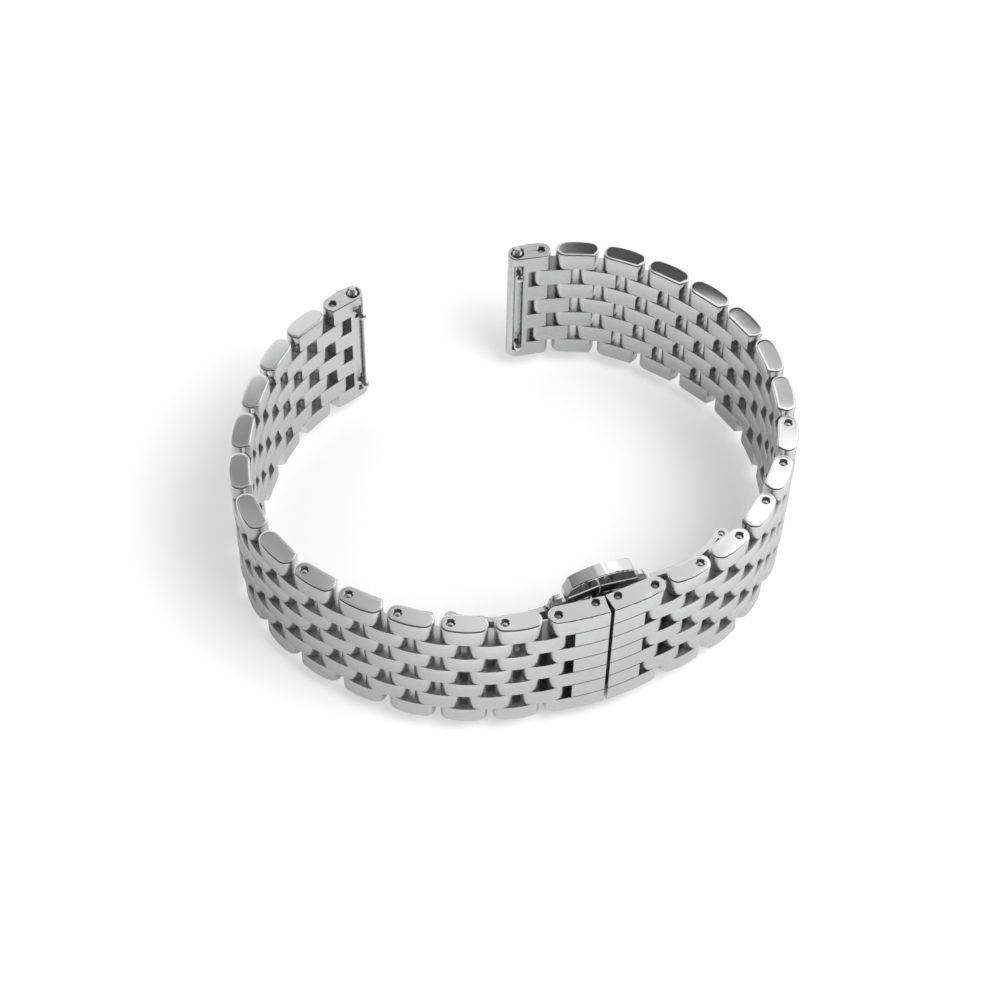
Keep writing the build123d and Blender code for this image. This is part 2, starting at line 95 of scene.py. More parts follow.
# Hollow of a link's inner face in m, and where it ends as a share of the half pitch
INNER_HOLLOW = 0.00002
HOLLOW_END = 0.6
# An end face is dull and darker, a painted shade, up to this share of the way from the pins to the inner
# face, and polished beyond
SHADED_RECESS_DEPTH = 0.35
# Keeps a sharp corner of the outline near, when the outline is moved inwards
LEAST_LEAN = 0.5

# Pin ends as shares of the pin radius: the broken edge, the dome in an open hole as radius and height,
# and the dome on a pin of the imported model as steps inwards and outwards
PIN_BREAK = 0.2
PIN_DOME = ((0.82, 0.16), (0.5, 0.30))
PIN_DOME_TOP = 0.36
CAD_PIN_DOME = ((0.14, 0.16), (0.20, 0.12), (0.22, 0.06), (0.18, 0.02))
# What tells such a pin's end from other faces: its radius as least and most share of the pin radius,
# its number of corners and how level it is
CAD_PIN_RADII = (0.7, 1.1)
CAD_PIN_CORNERS = 8
LEVEL = 0.999

# Angles in degrees from which an edge is shaded sharp, or is broken, and up to which faces are one
SHARP_LINK, SHARP_PIN, SHARP_CAD = 32, 30, 75
BROKEN_EDGE = 38
ONE_FACE = 0.6
# Distance in m at which corners are merged, and round of the edges of a spring bar tip
MERGE = 0.0000004
TIP_BREAK = 0.00003
# A face belongs to the rim up to this many rim rounds from the rim
RIM_REACH = 1.6

# The arched top of a button: least upward share of a face's normal, slack in height, largest lean
CROWN_UPWARD, CROWN_SLACK, CROWN_LEAN = 0.9, 1.1, 0.9

# The end of a cover is drawn to the middle of the clasp: in full at half the slit from there, and less
# and less over the reach beyond it. The slack takes in corners just short of half the slit.
SLIT_HALF = 0.0002
SLIT_REACH = 0.0005
SLIT_SLACK = 1.01

# The floor as the metal mirrors it, with painted shade that only reflections show: a dimmer band at the foot
# of the bracelet and two dimmer areas.
# A pair is where a smooth step starts and ends.
FOOT_RADIUS = 0.035
FOOT_BAND, FOOT_DIM = (0.0, 0.018), 0.16
LEFT, FRONT, LEFT_FRONT_DIM = (-0.008, 0.045), (-0.005, 0.020), 0.36
INSIDE, BACK, INSIDE_BACK_DIM = (-0.006, 0.004), (0.006, 0.014), 0.20
GLOW_BAND, GLOW_RISE = (0.15, 0.70), 0.5

# The studio as the metal mirrors it. side and depth say where a mirrored ray meets a level ceiling one
# unit up, card and dark are slanting lines there. A layer is a tone and the smooth steps that bound it:
# each step names a place, and runs from none at its first number to full at its second.
LEAST_UP = 0.05
ROOM_TONE, ROOM_RISE, ROOM_STEP = 0.04, 0.05, ("side", -1.2, -0.4)
CEILING_TONE, CEILING_SLOPE, CEILING_LEAST, CEILING_STEP = 0.80, 4.4, 0.27, ("depth", 0.30, 0.62)
CEILING_LAYERS = (
    (0.73, ("side", -0.01, 0.02)),
    (0.43, ("side", -0.10, -0.12), ("depth", 0.76, 0.70)),
    (0.42, ("side", -0.15, -0.20), ("depth", 0.78, 0.74)),
)
FAR_LEFT_LAYER = (0.80, ("depth", 0.795, 0.86), ("side", -0.02, -0.09))
CARD_SLANT, CARD_SHIFT, CARD_SHIFT_STEP = 0.25, 0.045, ("depth", 0.80, 0.74)
CARD_STEPS = (("card", 0.245, 0.262), ("depth", 0.35, 0.45))
NEAR_CARD_TONE, NEAR_CARD_STEP = 1.22, ("depth", 0.812, 0.796)
FAR_CARD_TONE, FAR_CARD_STEP = 1.15, ("depth", 0.796, 0.812)
CARD_SHADE_LAYER = (0.52, ("side", 0.128, 0.142), ("side", 0.24, 0.20))
DARK_SLANT = 0.3
FRONT_LAYERS = (
    # dark card at the far end
    (0.06, ("dark", 0.838, 0.848), ("side", 0.015, 0.03), ("side", 0.26, 0.20)),
    # light beyond it
    (0.95, ("depth", 1.0, 1.2)),
    # a tall white wall far out on the right lights up the gaps between the links
    (0.90, ("side", 0.60, 0.78), ("depth", -0.42, -0.25)),
)
# Strength of the even light on what is neither a mirror nor seen by the camera itself
ROOM_LIGHT = 0.60
WHITE = (1, 1, 1, 1)
# Name, place, power in W and width of each lamp
LAMPS = (
    ("key_lamp", (0.27, -0.19, 0.52), 2.1, 0.34),
    ("fill_lamp", (-0.25, -0.45, 0.60), 0.6, 0.60),
)
LAMP_AIM = (0, 0, 0.013)

# Camera fitted to the photograph: point looked at and way back from it in mm, roll in degrees.
# NEAREST is where it starts to see, FLOOR_HALF the half width of the floor under it, both in m.
TARGET = (-1.805, -4.55, 13.1)
CAMERA_BACK = (0.0, -180.66, 241.98)
ROLL = 1.30
FOCAL_PIXELS, PICTURE_PIXELS = 2342, 1000
SENSOR = 36.0
NEAREST = 0.01
FLOOR_HALF = 3.0


# Sizes a user would change

class BraceletSizes(bpy.types.PropertyGroup):
    """Sizes of the links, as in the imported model."""

    pitch: bpy.props.FloatProperty(
        name="Pin spacing", description="From one pin of a link to its other pin",
        default=0.00325, unit="LENGTH")
    width: bpy.props.FloatProperty(
        name="Width", description="Width of the bracelet along its pins",
        default=0.020, unit="LENGTH")
    rows: bpy.props.IntProperty(name="Rows", description="Rows of small links across the width", default=7)
    row_gap: bpy.props.FloatProperty(
        name="Row clearance", description="Air between one row and the next", default=0.00006, unit="LENGTH")
    half_depth: bpy.props.FloatProperty(
        name="Inner depth", description="From the pins to the inner face", default=0.0013, unit="LENGTH")
    crown: bpy.props.FloatProperty(
        name="Crown", description="From the pins to the top of the outer face",
        default=0.00142, unit="LENGTH")
    crown_start: bpy.props.FloatProperty(
        name="Crown start", description="Turn from the end of a link at which its round end meets the crown",
        default=radians(65), subtype="ANGLE")
    corner_back: bpy.props.FloatProperty(
        name="Corner set back", description="From the near end of a link to its inner corner",
        default=0.00055, unit="LENGTH")
    corner_rise: bpy.props.FloatProperty(
        name="Facet rise", description="Height of the slanting facet at the near end",
        default=0.00095, unit="LENGTH")
    rim_round: bpy.props.FloatProperty(
        name="Rim round", description="Round of the two rims of the bracelet", default=0.00014, unit="LENGTH")
    rim_dome: bpy.props.FloatProperty(
        name="Rim dome", description="How much the middle of a rim face stands above its edge",
        default=0.000008, unit="LENGTH")
    dome_reach: bpy.props.FloatProperty(
        name="Dome reach", description="How far in from its edge a rim face is domed",
        default=0.00038, unit="LENGTH")
    slit_fill: bpy.props.FloatProperty(
        name="Slit fill", description="How far each cover reaches into the slit at the middle of the clasp",
        default=0.00011, unit="LENGTH")
    gap_lean: bpy.props.FloatProperty(
        name="Gap lean", description="Share of a face's lean along the chain past which it lies in a gap",
        default=0.80, min=0, max=1)
    row_round: bpy.props.FloatProperty(
        name="Row round", description="Round between the rows", default=0.00007, unit="LENGTH")
    pin_radius: bpy.props.FloatProperty(
        name="Pin radius", description="Radius of a chain pin", default=0.0005, unit="LENGTH")
    pin_recess: bpy.props.FloatProperty(
        name="Pin recess", description="How far a pin end lies below the rim", default=0.00042, unit="LENGTH")
    mouth: bpy.props.FloatProperty(
        name="Hole mouth", description="Bevel at the mouth of an open pin hole",
        default=0.0001, unit="LENGTH")
    open_links: bpy.props.IntProperty(
        name="Removable links", description="Four-row links with open pin holes in each half", default=5)
    button_crown_radius: bpy.props.FloatProperty(
        name="Button crown radius", description="Radius of the arched top of a button",
        default=0.01078, unit="LENGTH")
    button_crown_rise: bpy.props.FloatProperty(
        name="Button crown rise", description="Height of the arched top of a button",
        default=0.00075, unit="LENGTH")
    edge_break: bpy.props.FloatProperty(
        name="Edge break", description="Round of the edges of covers, end links and clasp",
        default=0.00006, unit="LENGTH")


class BraceletColours(bpy.types.PropertyGroup):
    """Colours and gloss of the metal and of the stage."""

    satin: bpy.props.FloatVectorProperty(
        name="Satin steel", description="Broad faces of the links", subtype="COLOR", size=3,
        default=(0.70, 0.70, 0.705))
    polish: bpy.props.FloatVectorProperty(
        name="Polished steel", description="Rims and edges of the links", subtype="COLOR", size=3,
        default=(0.86, 0.86, 0.865))
    clasp: bpy.props.FloatVectorProperty(
        name="Clasp steel", description="Plate and blades of the clasp", subtype="COLOR", size=3,
        default=(0.72, 0.72, 0.725))
    # painted shade: the faces in the gaps between links get a darker colour for the shade there; their
    # rougher gloss is the steel's own
    recess: bpy.props.FloatVectorProperty(
        name="Recessed steel", description="Faces in the gaps between links, darker as painted shade, and rougher",
        subtype="COLOR", size=3, default=(0.68, 0.68, 0.685))
    satin_gloss: bpy.props.FloatProperty(
        name="Satin roughness", description="Roughness of the broad faces", default=0.27, min=0, max=1)
    polish_gloss: bpy.props.FloatProperty(
        name="Polish roughness", description="Roughness of polished faces", default=0.07, min=0, max=1)
    floor: bpy.props.FloatVectorProperty(
        name="Floor", description="Colour of the floor", subtype="COLOR", size=3,
        default=(0.93, 0.93, 0.93))
    floor_glow: bpy.props.FloatProperty(
        name="Floor glow", description="White that the camera sees on the floor beyond its own light",
        default=0.16, min=0, max=1)


# Shader maths

class Value:
    """A number socket that can be added, subtracted, multiplied and divided in plain Python."""

    def __init__(self, sheet, socket):
        self.sheet = sheet
        self.socket = socket

    def _with(self, operation, other, swap=False):
        pair = (other, self) if swap else (self, other)
        return self.sheet.maths(operation, *pair)

    def __add__(self, other):
        return self._with("ADD", other)

    def __radd__(self, other):
        return self._with("ADD", other, True)

    def __sub__(self, other):
        return self._with("SUBTRACT", other)

    def __rsub__(self, other):
        return self._with("SUBTRACT", other, True)

    def __mul__(self, other):
        return self._with("MULTIPLY", other)

    def __rmul__(self, other):
        return self._with("MULTIPLY", other, True)

    def __truediv__(self, other):
        return self._with("DIVIDE", other)


class Sheet:
    """The node tree of one material or world."""

    def __init__(self, tree):
        self.tree = tree
        tree.nodes.clear()

    def node(self, kind, settings=None, **inputs):
        """One node: its settings first, then the values or links of its sockets by name, or by
        number as in i0."""
        made = self.tree.nodes.new(kind)
        for key, value in (settings or {}).items():
            setattr(made, key, value)
        for key, value in inputs.items():
            by_number = key[0] == "i" and key[1:].isdigit()
            self.feed(made.inputs[int(key[1:]) if by_number else key], value)
        return made

    def feed(self, socket, value):
        if isinstance(value, Value):
            self.tree.links.new(value.socket, socket)
        elif isinstance(value, bpy.types.NodeSocket):
            self.tree.links.new(value, socket)
        else:
            socket.default_value = value

    def maths(self, operation, *values):
        made = self.tree.nodes.new("ShaderNodeMath")
        made.operation = operation
        for socket, value in zip(made.inputs, values):
            self.feed(socket, value)
        return Value(self, made.outputs[0])

    def out(self, made, name=0):
        return Value(self, made.outputs[name])

    def grey(self, tone):
        """The socket of a colour without a hue."""
        return self.node("ShaderNodeCombineXYZ", X=tone, Y=tone, Z=tone).outputs[0]

    def ease(self, value, low, high):
        """0 below low, 1 above high, smooth between them; the other way round where low is higher."""
        made = self.node("ShaderNodeMapRange", {"interpolation_type": "SMOOTHSTEP"}, Value=value)
        for label, number in zip(("From Min", "From Max", "To Min", "To Max"),
                                 (min(low, high), max(low, high), float(low > high), float(low < high))):
            made.inputs[label].default_value = number
        return self.out(made, "Result")


def steel(name, colour, roughness, grain=0.0, waves=0.0, spots=0.0, metallic=1.0):
    """A steel: grain is fine brushing along the bracelet, waves a faint unevenness of a polish and
    spots a fine mottle of the gloss."""
    made = bpy.data.materials.get(name) or bpy.data.materials.new(name)
    made.use_nodes = True
    sheet = Sheet(made.node_tree)
    place = sheet.node("ShaderNodeTexCoord").outputs["Object"]

    def noise(where, **sizes):
        return sheet.out(sheet.node("ShaderNodeTexNoise", Vector=where, **sizes), "Fac")

    cloud = noise(place, Scale=CLOUD_SCALE, Detail=2.0, Roughness=0.5)
    # brushing runs along the chain, so it changes fast across the width and slowly along it
    stretch = sheet.node("ShaderNodeMapping", Vector=place, Scale=GRAIN_SCALE)
    line = noise(stretch.outputs["Vector"], Scale=1.0, Detail=3.0, Roughness=0.6)
    tone = 1.0 + (cloud - 0.5) * CLOUD_TONE + (line - 0.5) * (GRAIN_TONE * grain)
    shade = sheet.node("ShaderNodeMix", {"data_type": "RGBA", "blend_type": "MULTIPLY"},
                       i0=1.0, i6=(*colour, 1), i7=sheet.grey(tone))
    gloss = roughness + (cloud - 0.5) * CLOUD_GLOSS + (line - 0.5) * (GRAIN_GLOSS * grain)
    if spots:
        gloss = gloss + (noise(place, Scale=SPOT_SCALE, Detail=1.0) - 0.5) * spots
    height = line * (GRAIN_HEIGHT * grain)
    if waves:
        height = height + noise(place, Scale=WAVE_SCALE, Detail=0.5) * waves
    bump = sheet.node("ShaderNodeBump", Strength=1.0, Distance=1.0, Height=height)
    shader = sheet.node("ShaderNodeBsdfPrincipled", Metallic=metallic,
                        Roughness=sheet.maths("MAXIMUM", gloss, LEAST_ROUGHNESS), Normal=bump.outputs[0])
    sheet.feed(shader.inputs["Base Color"], shade.outputs[2])
    sheet.node("ShaderNodeOutputMaterial", Surface=shader.outputs[0])
    return made


def metals():
    """The finishes of the bracelet. Each is one material, however often it is asked for."""
    look = bpy.context.scene.bracelet_colours
    return {
        "satin": steel("satin_steel", look.satin, look.satin_gloss, grain=0.6),
        "polish": steel("polished_steel", look.polish, look.polish_gloss, waves=WAVES),
        "clasp": steel("clasp_steel", look.clasp, roughness=0.24, grain=0.7, waves=FINE_WAVES,
                       metallic=0.75),
        "button": steel("button_steel", look.polish, roughness=0.06, waves=WAVES),
        "rim": steel("cover_rim_steel", RIM_COLOUR, roughness=0.16, waves=FINE_WAVES),
        # painted shade: a darker colour on the faces in the gaps between links, with the steel's own rougher
        # gloss
        "recess": steel("recessed_steel", look.recess, roughness=0.30, spots=0.1),
        # painted shade: a dark steel for the grooves between the rows of covers and end links
        "groove": steel("groove_steel", GROOVE_SHADE_COLOUR, roughness=0.30, spots=0.1),
        "pin": steel("pin_steel", PIN_COLOUR, roughness=0.22, spots=0.1),
        "bar": steel("spring_bar_steel", BAR_COLOUR, roughness=0.24, spots=0.08),
    }


# The shape of one small link

def arc(center, radius, start, end, count):
    """Points on a circle, angles in degrees, both ends included."""
    return [
        (center[0] + radius * cos(radians(start + (end - start) * k / (count - 1))),
         center[1] + radius * sin(radians(start + (end - start) * k / (count - 1))))
        for k in range(count)
    ]


def through(a, b, c, count):
    """Points on the circle through three points, the first and last left out."""
    ax, ay = a
    bx, by = b
    cx, cy = c
    d = 2 * (ax * (by - cy) + bx * (cy - ay) + cx * (ay - by))
    aa, bb, cc = ax * ax + ay * ay, bx * bx + by * by, cx * cx + cy * cy
    ux = (aa * (by - cy) + bb * (cy - ay) + cc * (ay - by)) / d
    uy = (aa * (cx - bx) + bb * (ax - cx) + cc * (bx - ax)) / d
    r = hypot(ax - ux, ay - uy)
    t0 = atan2(ay - uy, ax - ux)
    t1 = atan2(cy - uy, cx - ux)
    while t1 - t0 > pi:
        t1 -= 2 * pi
    while t1 - t0 < -pi:
        t1 += 2 * pi
    return [(ux + r * cos(t0 + (t1 - t0) * k / count), uy + r * sin(t0 + (t1 - t0) * k / count))
            for k in range(1, count)]


def link_outline(turn):
    """Outline of a small link seen along the pins, inner face towards +Y before it is mirrored."""
    s = bpy.context.scene.bracelet_sizes
    half, r = s.pitch / 2, s.half_depth
    start = degrees(s.crown_start)
    back = half + r - s.corner_back
    facet = r - s.corner_rise
    points = [(-back, r), (-back / 2, r - INNER_HOLLOW / 2), (0, r - INNER_HOLLOW),
              (half * HOLLOW_END, r - INNER_HOLLOW / 2)]
    points += arc((half, 0), r, 90, -start, END_POINTS)
    right = points[-1]
    left = (-right[0], right[1])
    points += through(right, (0, -s.crown), left, CROWN_POINTS)
    turn_end = 180 - degrees(atan2(facet, sqrt(r * r - facet * facet)))
    points += arc((-half, 0), r, -180 + start, turn_end - 360, NEAR_END_POINTS)
    if turn < 0:
        points = [(x, -y) for x, y in points]
    else:
        points.reverse()
    return points


def inset(points, distance):
    """The same outline moved inwards along its corner normals."""
    moved = []
    count = len(points)
    for k, (x, y) in enumerate(points):
        px, py = points[k - 1]
        qx, qy = points[(k + 1) % count]
        ax, ay = x - px, y - py
        bx, by = qx - x, qy - y
        la, lb = hypot(ax, ay), hypot(bx, by)
        nx = -ay / la - by / lb
        ny = ax / la + bx / lb
        length = hypot(nx, ny)
        nx, ny = nx / length, ny / length
        lean = max(LEAST_LEAN, (-ay / la) * nx + (ax / la) * ny)
        moved.append((x + nx * distance / lean, y + ny * distance / lean))
    return moved


def row_height():
    """Height of one row between its two clearances."""
    s = bpy.context.scene.bracelet_sizes
    return (s.width - (s.rows - 1) * s.row_gap) / s.rows


def ring(mesh, radius, z, steps, x=0.0):
    """Vertices on a circle about the pin at x."""
    return [mesh.verts.new((x + radius * cos(2 * pi * k / steps), radius * sin(2 * pi * k / steps), z))
            for k in range(steps)]


def smooth_object(name, mesh, data, sharp):
    """An object of the finished bmesh, smooth but for edges sharper than so many degrees."""
    mesh.to_mesh(data)
    mesh.free()
    for face in data.polygons:
        face.use_smooth = True
    data.set_sharp_from_angle(angle=radians(sharp))
    made = bpy.data.objects.new(name, data)
    bpy.context.scene.collection.objects.link(made)
    return made


def small_link(name, turn, low_round, high_round, hole_side=0):
    """One small link from z = 0 to the row height. hole_side 1 or -1 opens a pin hole in its
    upper or lower face, at the end away from the clasp. A rim face is very slightly domed."""
    s = bpy.context.scene.bracelet_sizes
    height = row_height()
    outline = link_outline(turn)
    levels = []
    rims = []
    for low, radius in ((True, low_round), (False, high_round)):
        rim = radius > s.row_round
        sink = s.rim_dome if rim else 0.0
        stack = []
        for k in range(ROUND_STEPS + 1):
            t = pi / 2 * k / ROUND_STEPS
            stack.append((inset(outline, radius * (1 - cos(t))), sink + radius * (1 - sin(t))))
        if rim:
            for k in range(1, DOME_STEPS + 1):
                share = k / DOME_STEPS
                stack.append((inset(outline, radius + s.dome_reach * share), sink * (1 - share) ** 2))
        rims.append(rim)
        placed = [(points, z if low else height - z) for points, z in stack]
        levels += placed[::-1] if low else placed
    mesh = bmesh.new()
    polished = mesh.faces.layers.bool.new("polished")
    recess = mesh.faces.layers.bool.new("recess")
    loops = [[mesh.verts.new((x, y, z)) for x, y in points] for points, z in levels]
    count = len(outline)
    rim_steps = DOME_STEPS + ROUND_STEPS
    for index, (a, b) in enumerate(zip(loops, loops[1:])):
        at_rim = rims[0] and index < rim_steps or rims[1] and index >= len(loops) - 1 - rim_steps
        for k in range(count):
            n = (k + 1) % count
            face = mesh.faces.new((a[k], a[n], b[n], b[k]))
            face[polished] = at_rim
            # the ends look along the chain, into the gap before the next link; their outer part takes a
            # darker steel as painted shade, the rest is polished
            run = Vector((outline[n][0] - outline[k][0], outline[n][1] - outline[k][1])).normalized()
            inward = (outline[n][1] + outline[k][1]) / 2 * turn
            facing_gap = abs(run.y) > s.gap_lean and not at_rim
            face[recess] = facing_gap and inward < s.half_depth * SHADED_RECESS_DEPTH
            face[polished] = face[polished] or (facing_gap and not face[recess])
    for faces_low in (True, False):
        loop = loops[0] if faces_low else loops[-1]
        open_here = hole_side and (hole_side < 0) == faces_low
        if not open_here:
            face = mesh.faces.new(loop[::-1] if faces_low else loop)
            face[polished] = rims[0 if faces_low else 1]
            # a cap that faces the next row takes a darker steel as painted shade
            face[recess] = not face[polished]
            continue
        z = loop[0].co.z
        down = 1 if faces_low else -1
        radius = s.pin_radius
        profile = [(radius + s.mouth, 0.0), (radius, s.mouth), (radius, s.pin_recess)]
        profile += [(radius * share, s.pin_recess - radius * rise) for share, rise in PIN_DOME]
        circles = [ring(mesh, reach, z + down * depth, HOLE_STEPS, s.pitch / 2) for reach, depth in profile]
        edge = [v.co.copy() for v in loop]
        hole = [v.co.copy() for v in circles[0]]
        every = list(loop) + circles[0]
        for triple in tessellate_polygon([edge, hole]):
            corner = [every[i] for i in triple]
            normal = (corner[1].co - corner[0].co).cross(corner[2].co - corner[0].co)
            if (normal.z < 0) != faces_low:
                corner.reverse()
            mesh.faces.new(corner)[polished] = True
        for index, (a, b) in enumerate(zip(circles, circles[1:])):
            for k in range(HOLE_STEPS):
                n = (k + 1) % HOLE_STEPS
                corner = [a[k], a[n], b[n], b[k]]
                if not faces_low:
                    corner.reverse()
                made = mesh.faces.new(corner)
                # bevelled mouth, then the wall of the hole in a darker steel as painted shade, then the domed
                # end of the pin
                made[recess] = index == 1
                made[polished] = index == 0
        top = mesh.verts.new((s.pitch / 2, 0.0, z + down * (s.pin_recess - radius * PIN_DOME_TOP)))
        last = circles[-1]
        for k in range(HOLE_STEPS):
            n = (k + 1) % HOLE_STEPS
            corner = [last[k], last[n], top]
            if not faces_low:
                corner.reverse()
            mesh.faces.new(corner)
    bmesh.ops.recalc_face_normals(mesh, faces=mesh.faces)
    return smooth_object(name, mesh, bpy.data.meshes.new(name), SHARP_LINK)


def pin_template(name, reach):
    """A chain pin with broken ends, centred on the middle of the bracelet."""
    s = bpy.context.scene.bracelet_sizes
    mesh = bmesh.new()
    brk = s.pin_radius * PIN_BREAK
    loops = [ring(mesh, radius, z, PIN_STEPS) for radius, z in (
        (s.pin_radius - brk, -reach), (s.pin_radius, -reach + brk),
        (s.pin_radius, reach - brk), (s.pin_radius - brk, reach))]
    for a, b in zip(loops, loops[1:]):
        for k in range(PIN_STEPS):
            n = (k + 1) % PIN_STEPS
            mesh.faces.new((a[k], a[n], b[n], b[k]))
    mesh.faces.new(loops[0][::-1])
    mesh.faces.new(loops[-1])
    return smooth_object(name, mesh, bpy.data.meshes.new(name), SHARP_PIN)


# Rows of links by Geometry Nodes

def rows_tree():
    """Tree that stacks small links in rows, closes them with two rim links and pins them."""
    tree = bpy.data.node_groups.get("link_rows")
    if tree:
        return tree
    tree = bpy.data.node_groups.new("link_rows", "GeometryNodeTree")
    face = tree.interface
    face.new_socket("Geometry", in_out="INPUT", socket_type="NodeSocketGeometry")
    for label in ("Inner link", "Lower rim link", "Upper rim link", "Pin"):
        face.new_socket(label, in_out="INPUT", socket_type="NodeSocketObject")
    face.new_socket("Inner rows", in_out="INPUT", socket_type="NodeSocketInt")
    for label in ("First row", "Row step", "Rim row", "Pin offset"):
        face.new_socket(label, in_out="INPUT", socket_type="NodeSocketFloat")
    for label in ("Broad faces", "Polished faces", "Recessed faces", "Pin metal"):
        face.new_socket(label, in_out="INPUT", socket_type="NodeSocketMaterial")
    face.new_socket("Geometry", in_out="OUTPUT", socket_type="NodeSocketGeometry")
    new, link = tree.nodes.new, tree.links.new
    given = new("NodeGroupInput")
    result = new("NodeGroupOutput")

    def vector(axis, value):
        made = new("ShaderNodeCombineXYZ")
        link(value, made.inputs[axis])
        return made.outputs[0]

    def times(value, factor):
        made = new("ShaderNodeMath")
        made.operation = "MULTIPLY"
        made.inputs[1].default_value = factor
        link(value, made.inputs[0])
        return made.outputs[0]

    def template(label):
        made = new("GeometryNodeObjectInfo")
        link(given.outputs[label], made.inputs["Object"])
        return made.outputs["Geometry"]

    def placed(label, z):
        made = new("GeometryNodeTransform")
        link(template(label), made.inputs["Geometry"])
        link(vector("Z", z), made.inputs["Translation"])
        return made.outputs[0]

    def copies(label, line, start, offset):
        """The template of that label at every point of a mesh line."""
        link(start, line.inputs["Start Location"])
        link(offset, line.inputs["Offset"])
        made = new("GeometryNodeInstanceOnPoints")
        link(line.outputs[0], made.inputs["Points"])
        link(template(label), made.inputs["Instance"])
        return made.outputs[0]

    def joined(*pieces):
        made = new("GeometryNodeJoinGeometry")
        for piece in pieces:
            link(piece, made.inputs[0])
        return made.outputs[0]

    def real(geometry):
        made = new("GeometryNodeRealizeInstances")
        link(geometry, made.inputs[0])
        return made.outputs[0]

    def finished(geometry, label, mark=None):
        """The geometry in the metal of that label, or only its faces with that mark."""
        made = new("GeometryNodeSetMaterial")
        link(geometry, made.inputs["Geometry"])
        link(given.outputs[label], made.inputs["Material"])
        if mark:
            chosen = new("GeometryNodeInputNamedAttribute")
            chosen.data_type = "BOOLEAN"
            chosen.inputs["Name"].default_value = mark
            link(chosen.outputs["Attribute"], made.inputs["Selection"])
        return made.outputs[0]

    row_line = new("GeometryNodeMeshLine")
    link(given.outputs["Inner rows"], row_line.inputs["Count"])
    inner = copies("Inner link", row_line, vector("Z", given.outputs["First row"]),
                   vector("Z", given.outputs["Row step"]))
    lower = placed("Lower rim link", times(given.outputs["Rim row"], -1.0))
    upper = placed("Upper rim link", given.outputs["Rim row"])
    pin_line = new("GeometryNodeMeshLine")
    pin_line.inputs["Count"].default_value = 2
    pins = copies("Pin", pin_line, vector("X", times(given.outputs["Pin offset"], -1.0)),
                  vector("X", times(given.outputs["Pin offset"], 2.0)))
    rows = finished(real(joined(inner, lower, upper)), "Broad faces")
    rows = finished(rows, "Polished faces", "polished")
    # the faces in the gaps and the hole walls take a darker steel as painted shade
    rows = finished(rows, "Recessed faces", "recess")
    link(joined(rows, finished(real(pins), "Pin metal")), result.inputs[0])
    return tree


def stacked(name, tree, **values):
    """A plain mesh of the tree's result in the link's own frame."""
    base = bpy.data.objects.new(name + "_base", bpy.data.meshes.new(name + "_base"))
    bpy.context.scene.collection.objects.link(base)
    modifier = base.modifiers.new("rows", "NODES")
    modifier.node_group = tree
    names = {item.name: item.identifier for item in tree.interface.items_tree
             if item.item_type == "SOCKET" and item.in_out == "INPUT"}
    for label, value in values.items():
        modifier[names[label.replace("_", " ")]] = value
    bpy.context.view_layer.update()
    graph = bpy.context.evaluated_depsgraph_get()
    mesh = bpy.data.meshes.new_from_object(base.evaluated_get(graph), depsgraph=graph)
    mesh.name = name
    bpy.data.objects.remove(base)
    return mesh


def settle(name, mesh, matrix, body, *nodes, slot):
    """A finished piece with its place in its mesh, on its body, in place of its CAD nodes."""
    data = mesh.copy()
    data.transform(matrix)
    data.name = name
    made = bpy.data.objects.new(name, data)
    bpy.context.scene.collection.objects.link(made)
    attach(made, body)
    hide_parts(*nodes)
    return made


# Where the links stand

def chain_places():
    """Matrix of every link in both halves, at its middle and along it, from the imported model's pins."""
    hinges = [joint for joint in JOINTS if joint["type"] == "hinge"]
    pin = {joint["child"]: joint["pos_m"] for joint in hinges}
    follower = {joint["parent"]: joint["child"] for joint in hinges
                if any(word in joint["child"] for word in ("_wide_", "_narrow_", "_end_link"))}
    places = {}
    for name, near in pin.items():
        if "_wide_" not in name and "_narrow_" not in name:
            continue
        far = pin[follower[name]]
        heading = atan2(far[1] - near[1], far[0] - near[0])
        middle = Vector(((near[0] + far[0]) / 2, (near[1] + far[1]) / 2, near[2]))
        places[name] = Matrix.Translation(middle) @ Matrix.Rotation(heading, 4, "Z")
    return places


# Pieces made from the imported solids

def dome_pins(mesh):
    """Give the flat round ends of the chain pins a low dome."""
    s = bpy.context.scene.bracelet_sizes
    for face in list(mesh.faces):
        if abs(face.normal.z) < LEVEL or len(face.verts) < CAD_PIN_CORNERS:
            continue
        middle = face.calc_center_median()
        reach = [(vertex.co - middle).length for vertex in face.verts]
        least, most = CAD_PIN_RADII
        if max(reach) > s.pin_radius * most or min(reach) < s.pin_radius * least:
            continue
        for share, rise in CAD_PIN_DOME:
            bmesh.ops.inset_individual(mesh, faces=[face], thickness=s.pin_radius * share,
                                       depth=s.pin_radius * rise)


